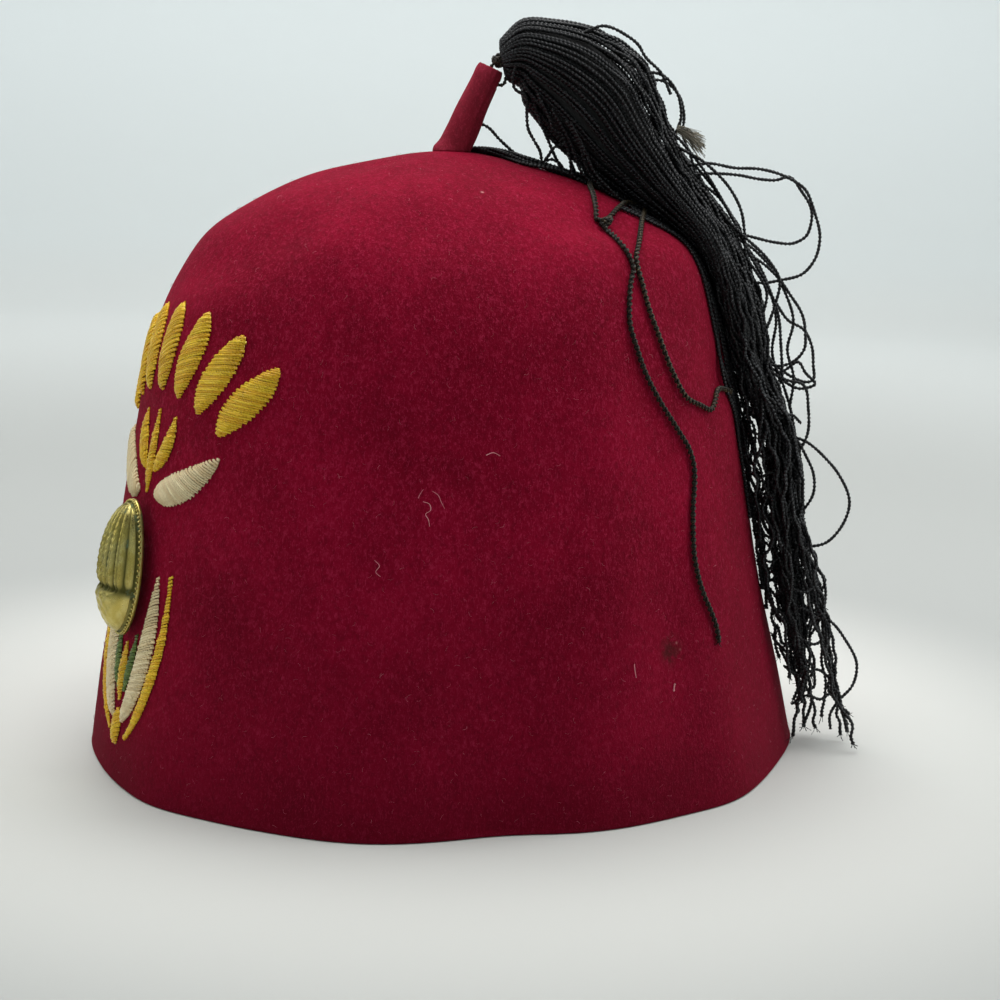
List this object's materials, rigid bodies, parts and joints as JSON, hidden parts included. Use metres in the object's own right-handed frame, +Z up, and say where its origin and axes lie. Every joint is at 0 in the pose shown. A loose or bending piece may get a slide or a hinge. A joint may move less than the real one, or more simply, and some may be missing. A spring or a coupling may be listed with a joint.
{
  "type": "felt fez hat",
  "caption": "Red felt fez with a domed crown, open below, a felt stem with a hanging black cord tassel, and a stitched leaf sprig round a raised brass bud on its front.",
  "frame": {"origin": "middle of the rim's flat face, which the hat rests on", "axes": "+Z up through the crown's top, -Y towards the hat's front with the brass bud, +X towards the wearer's left"},
  "size_m": [0.1795, 0.2085, 0.201],
  "materials": {
    "felt": "soft napped wool felt",
    "tassel_cord": "twisted black cord with a dull shine",
    "tie_cord": "dull dark cord",
    "gold_thread": "shiny satin stitch",
    "cream_thread": "shiny satin stitch",
    "green_thread": "shiny satin stitch",
    "brass": "worn cast brass with green tarnish in its hollows"
  },
  "bodies": {
    "root": {"crown": "felt", "stem": "felt", "tie": "tie_cord", "tassel": "tassel_cord", "brass_bud": "brass", "fan_leaf_1": "gold_thread", "fan_leaf_2": "gold_thread", "fan_leaf_3": "gold_thread", "fan_leaf_4": "gold_thread", "fan_leaf_5": "gold_thread", "fan_leaf_6": "gold_thread", "fan_leaf_7": "gold_thread", "upper_stalk": "gold_thread", "lower_stalk": "gold_thread", "drop": "gold_thread", "cream_petal_left": "cream_thread", "cream_petal_right": "cream_thread", "broad_leaf_left": "cream_thread", "broad_leaf_right": "cream_thread", "broad_leaf_edge_left": "gold_thread", "broad_leaf_edge_right": "gold_thread", "green_leaf_left": "green_thread", "green_leaf_right": "green_thread", "twig_leaf_left": "gold_thread", "twig_leaf_right": "gold_thread"}
  },
  "joints": []
}
